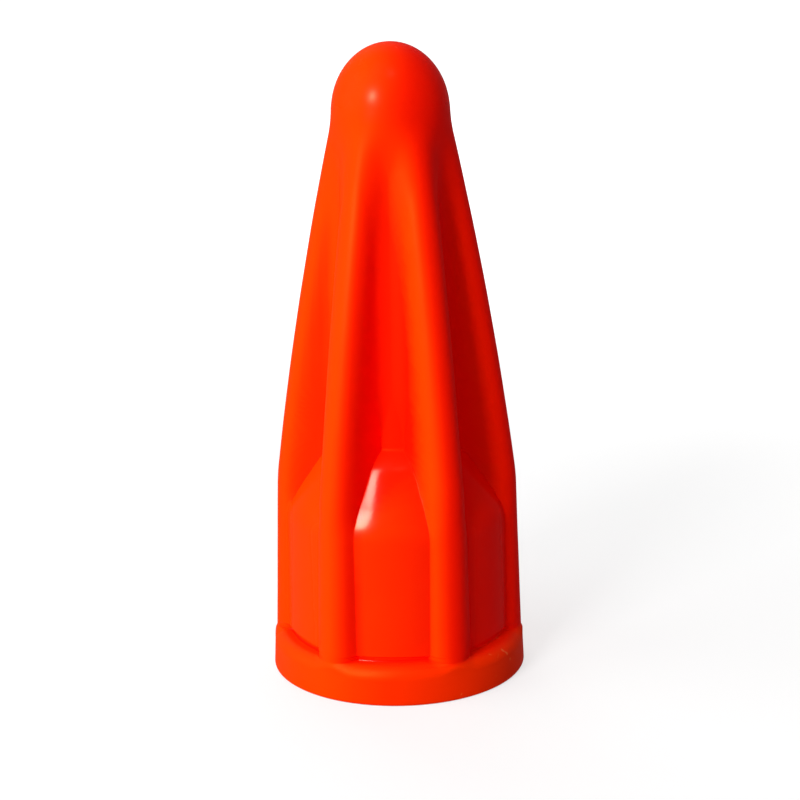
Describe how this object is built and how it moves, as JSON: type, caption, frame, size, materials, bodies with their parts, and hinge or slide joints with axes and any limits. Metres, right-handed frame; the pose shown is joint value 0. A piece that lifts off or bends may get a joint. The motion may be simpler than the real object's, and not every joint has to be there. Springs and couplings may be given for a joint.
{
  "type": "training javelin tip",
  "caption": "Slip-on rubber javelin tip: round nose, radial ribs flaring from a slender core, bullet-shaped socket housing with a rigid liner, and a round collar.",
  "frame": {"origin": "middle of the collar's bottom face, on the axis", "axes": "+Z along the axis from the collar to the nose, -Y out through the middle of a flute, +X along the crest of a rib"},
  "size_m": [0.045, 0.045, 0.11],
  "materials": {
    "orange_rubber": "glossy moulded",
    "natural_plastic": "satin moulded"
  },
  "bodies": {
    "root": {"rubber_tip": "orange_rubber", "socket_liner": "natural_plastic"}
  },
  "joints": []
}
